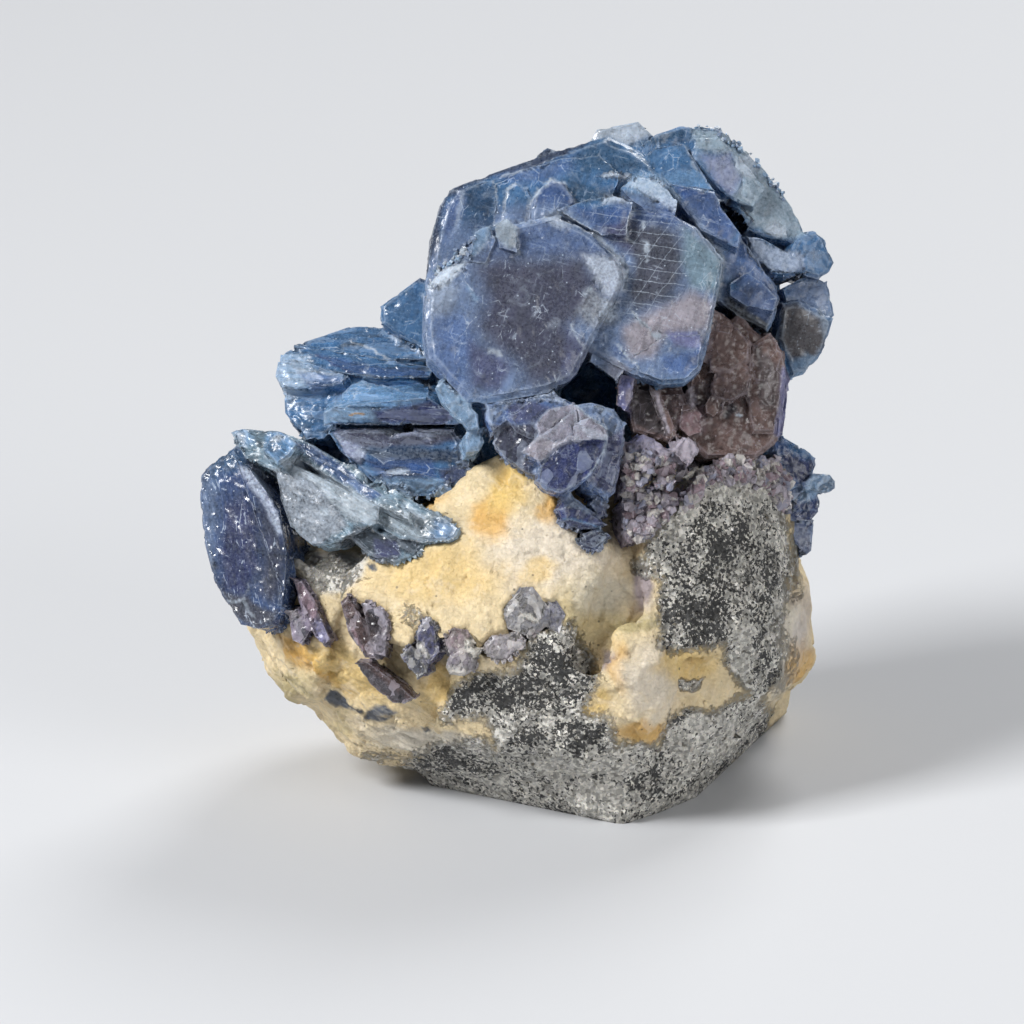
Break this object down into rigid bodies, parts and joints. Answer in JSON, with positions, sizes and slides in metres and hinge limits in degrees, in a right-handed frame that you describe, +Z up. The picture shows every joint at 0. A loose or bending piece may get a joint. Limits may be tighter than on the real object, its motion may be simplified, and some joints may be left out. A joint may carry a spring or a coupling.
{
  "type": "sapphire specimen",
  "caption": "Cluster of blue tabular sapphire crystals grown on a lump of cream feldspar and grey gneiss, resting on a broken flat underneath.",
  "frame": {"origin": "on the surface it rests on, under the middle of the specimen", "axes": "+Z up, +X to the right as seen from its good side, -Y towards whoever looks at the good side"},
  "size_m": [0.0794, 0.0572, 0.0813],
  "materials": {
    "blue_sapphire": "translucent blue crystal with pale rims and darker cores",
    "brown_sapphire": "translucent brownish grey crystal",
    "violet_sapphire": "translucent violet grey crystal, frosted",
    "grey_crystal": "translucent grey crystal",
    "matrix_stone": "rough broken stone, cream feldspar with grey speckled gneiss"
  },
  "bodies": {
    "root": {"crown_plates": "blue_sapphire", "front_cluster": "blue_sapphire", "left_stack": "blue_sapphire", "left_blade": "blue_sapphire", "far_left_tablet": "blue_sapphire", "right_steps": "blue_sapphire", "small_blue_crystals": "blue_sapphire", "pale_tongue": "blue_sapphire", "back_crystals": "blue_sapphire", "brown_plates": "brown_sapphire", "purple_cluster": "violet_sapphire", "left_flakes": "violet_sapphire", "dark_prisms": "violet_sapphire", "grey_round_crystal": "grey_crystal", "grey_low_crystal": "grey_crystal", "grey_twin_crystal": "grey_crystal", "grey_platy_crystal": "grey_crystal", "matrix_rock": "matrix_stone"}
  },
  "joints": []
}
